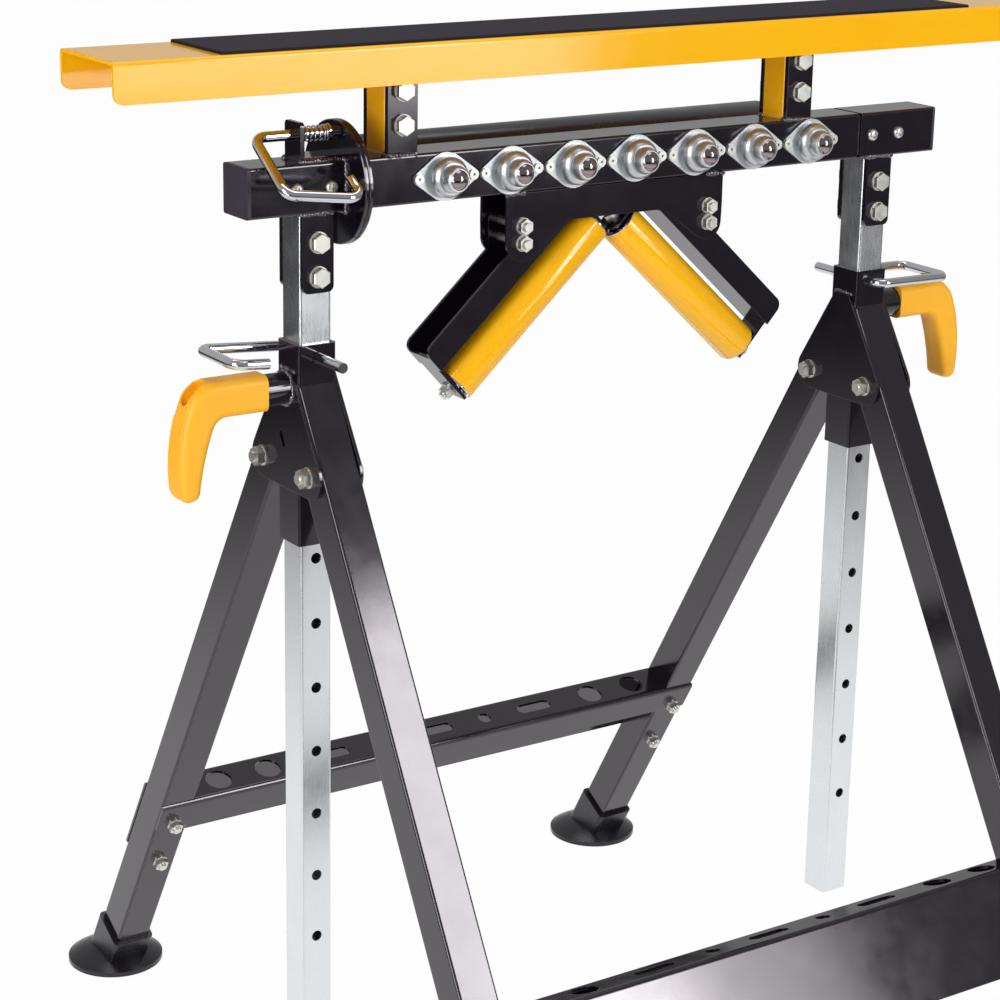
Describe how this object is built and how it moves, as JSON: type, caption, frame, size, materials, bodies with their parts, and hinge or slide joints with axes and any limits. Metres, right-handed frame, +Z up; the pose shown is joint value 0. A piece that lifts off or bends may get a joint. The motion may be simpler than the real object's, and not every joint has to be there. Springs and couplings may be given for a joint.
{
  "type": "folding sawhorse",
  "caption": "Folding steel sawhorse with a height-adjustable turning head that carries a padded rail, roller balls, a V of rollers and a straight roller.",
  "frame": {"origin": "on the floor, under the middle of the rail and midway between the front and rear feet", "axes": "+X along the rail to the right, +Y to the rear, +Z up; the balls and the picture's view are at -Y"},
  "size_m": [1.03, 0.9658, 1.0539],
  "materials": {
    "black_gloss_paint": "gloss black enamel on steel",
    "yellow_paint": "satin yellow powder coat on steel",
    "zinc_plate": "bright zinc plate on steel",
    "zinc_bolts": "bright zinc on hexagon bolts and turned steel",
    "chrome_rod": "polished chrome plate on round rod and balls",
    "black_plastic": "glossy moulded plastic",
    "yellow_plastic": "moulded nylon with a fine grain",
    "grey_rubber": "matt rubber strip with fine ribs",
    "grey_roller": "dark satin paint on a steel roller"
  },
  "bodies": {
    "frame": {"left_sleeve": "black_gloss_paint", "right_sleeve": "black_gloss_paint", "left_gussets": "black_gloss_paint", "right_gussets": "black_gloss_paint", "pivot_bolts": "zinc_bolts", "clamp_bosses": "black_gloss_paint"},
    "front_legs": {"front_left_leg": "black_gloss_paint", "front_right_leg": "black_gloss_paint", "front_tray": "black_gloss_paint", "front_tray_bolts": "zinc_bolts", "front_feet": "black_plastic"},
    "rear_legs": {"rear_left_leg": "black_gloss_paint", "rear_right_leg": "black_gloss_paint", "rear_tray": "black_gloss_paint", "rear_tray_bolts": "zinc_bolts", "rear_feet": "black_plastic"},
    "head": {"left_post": "zinc_plate", "right_post": "zinc_plate", "left_stub": "black_gloss_paint", "right_stub": "black_gloss_paint", "post_straps": "black_gloss_paint", "strap_bolts": "zinc_bolts", "stub_end_plugs": "black_plastic", "bearing_blocks": "zinc_bolts", "stub_screws": "zinc_bolts", "fixed_index_disc": "black_gloss_paint", "index_bracket": "black_gloss_paint", "index_spring": "chrome_rod"},
    "index_pin": {"index_pin": "chrome_rod"},
    "turret": {"turret_tube": "black_gloss_paint", "turret_index_disc": "black_gloss_paint", "turret_shafts": "zinc_bolts", "rail_ears": "black_gloss_paint", "ear_bolts": "zinc_bolts", "rail": "yellow_paint", "rail_posts": "yellow_paint", "grip_strip": "grey_rubber", "ball_cups": "zinc_plate", "ball_rivets": "zinc_bolts", "v_plates": "black_gloss_paint", "v_bolts": "zinc_bolts", "guard_arms": "black_gloss_paint", "apex_bracket": "black_gloss_paint", "roller_axles": "zinc_bolts", "back_roller_brackets": "black_gloss_paint"},
    "left_v_roller": {"left_v_roller": "yellow_paint"},
    "right_v_roller": {"right_v_roller": "yellow_paint"},
    "back_roller": {"back_roller": "grey_roller"},
    "left_lock_pin": {"left_lock_pin": "chrome_rod"},
    "right_lock_pin": {"right_lock_pin": "chrome_rod"},
    "left_clamp_lever": {"left_clamp_lever": "yellow_plastic"},
    "right_clamp_lever": {"right_clamp_lever": "yellow_plastic"},
    "ball_1": {"ball_1": "chrome_rod"},
    "ball_2": {"ball_2": "chrome_rod"},
    "ball_3": {"ball_3": "chrome_rod"},
    "ball_4": {"ball_4": "chrome_rod"},
    "ball_5": {"ball_5": "chrome_rod"},
    "ball_6": {"ball_6": "chrome_rod"},
    "ball_7": {"ball_7": "chrome_rod"}
  },
  "joints": [
    {"name": "front_legs_fold", "type": "hinge", "parent": "frame", "child": "front_legs", "pos_m": [0.0115, -0.042, 0.6755], "axis": [1, 0, 0], "range_deg": [0, 28]},
    {"name": "rear_legs_fold", "type": "hinge", "parent": "frame", "child": "rear_legs", "pos_m": [0.0115, 0.042, 0.6755], "axis": [-1, 0, 0], "range_deg": [0, 28]},
    {"name": "head_height", "type": "slide", "parent": "frame", "child": "head", "axis": [0, 0, 1], "range_m": [0, 0.3738]},
    {"name": "turret_turn", "type": "hinge", "parent": "head", "child": "turret", "pos_m": [0, 0, 0.9276], "axis": [1, 0, 0], "range_deg": [-90, 90]},
    {"name": "index_pin_slide", "type": "slide", "parent": "head", "child": "index_pin", "axis": [1, 0, 0], "range_m": [0, 0.005], "deforming": ["index_spring"]},
    {"name": "left_v_roller_turn", "type": "hinge", "parent": "turret", "child": "left_v_roller", "pos_m": [-0.08125, 0, 0.79717], "axis": [-0.7373, 0, -0.6756], "continuous": true},
    {"name": "right_v_roller_turn", "type": "hinge", "parent": "turret", "child": "right_v_roller", "pos_m": [0.10025, 0, 0.79717], "axis": [0.7373, 0, -0.6756], "continuous": true},
    {"name": "back_roller_turn", "type": "hinge", "parent": "turret", "child": "back_roller", "pos_m": [0, 0.05973, 0.9276], "axis": [1, 0, 0], "continuous": true},
    {"name": "ball_1_turn", "type": "hinge", "parent": "turret", "child": "ball_1", "pos_m": [-0.1815, -0.04022, 0.9276], "axis": [1, 0, 0], "continuous": true},
    {"name": "ball_2_turn", "type": "hinge", "parent": "turret", "child": "ball_2", "pos_m": [-0.1115, -0.04022, 0.9276], "axis": [1, 0, 0], "continuous": true},
    {"name": "ball_3_turn", "type": "hinge", "parent": "turret", "child": "ball_3", "pos_m": [-0.0415, -0.04022, 0.9276], "axis": [1, 0, 0], "continuous": true},
    {"name": "ball_4_turn", "type": "hinge", "parent": "turret", "child": "ball_4", "pos_m": [0.0285, -0.04022, 0.9276], "axis": [1, 0, 0], "continuous": true},
    {"name": "ball_5_turn", "type": "hinge", "parent": "turret", "child": "ball_5", "pos_m": [0.0985, -0.04022, 0.9276], "axis": [1, 0, 0], "continuous": true},
    {"name": "ball_6_turn", "type": "hinge", "parent": "turret", "child": "ball_6", "pos_m": [0.1685, -0.04022, 0.9276], "axis": [1, 0, 0], "continuous": true},
    {"name": "ball_7_turn", "type": "hinge", "parent": "turret", "child": "ball_7", "pos_m": [0.2385, -0.04022, 0.9276], "axis": [1, 0, 0], "continuous": true},
    {"name": "left_lock_pin_slide", "type": "slide", "parent": "frame", "child": "left_lock_pin", "axis": [0, 1, 0], "range_m": [0, 0.09]},
    {"name": "right_lock_pin_slide", "type": "slide", "parent": "frame", "child": "right_lock_pin", "axis": [0, -1, 0], "range_m": [0, 0.09]},
    {"name": "left_clamp_turn", "type": "hinge", "parent": "frame", "child": "left_clamp_lever", "pos_m": [-0.3101, 0, 0.748], "axis": [1, 0, 0], "range_deg": [-80, 80]},
    {"name": "right_clamp_turn", "type": "hinge", "parent": "frame", "child": "right_clamp_lever", "pos_m": [0.3331, 0, 0.748], "axis": [1, 0, 0], "range_deg": [-80, 80]}
  ]
}
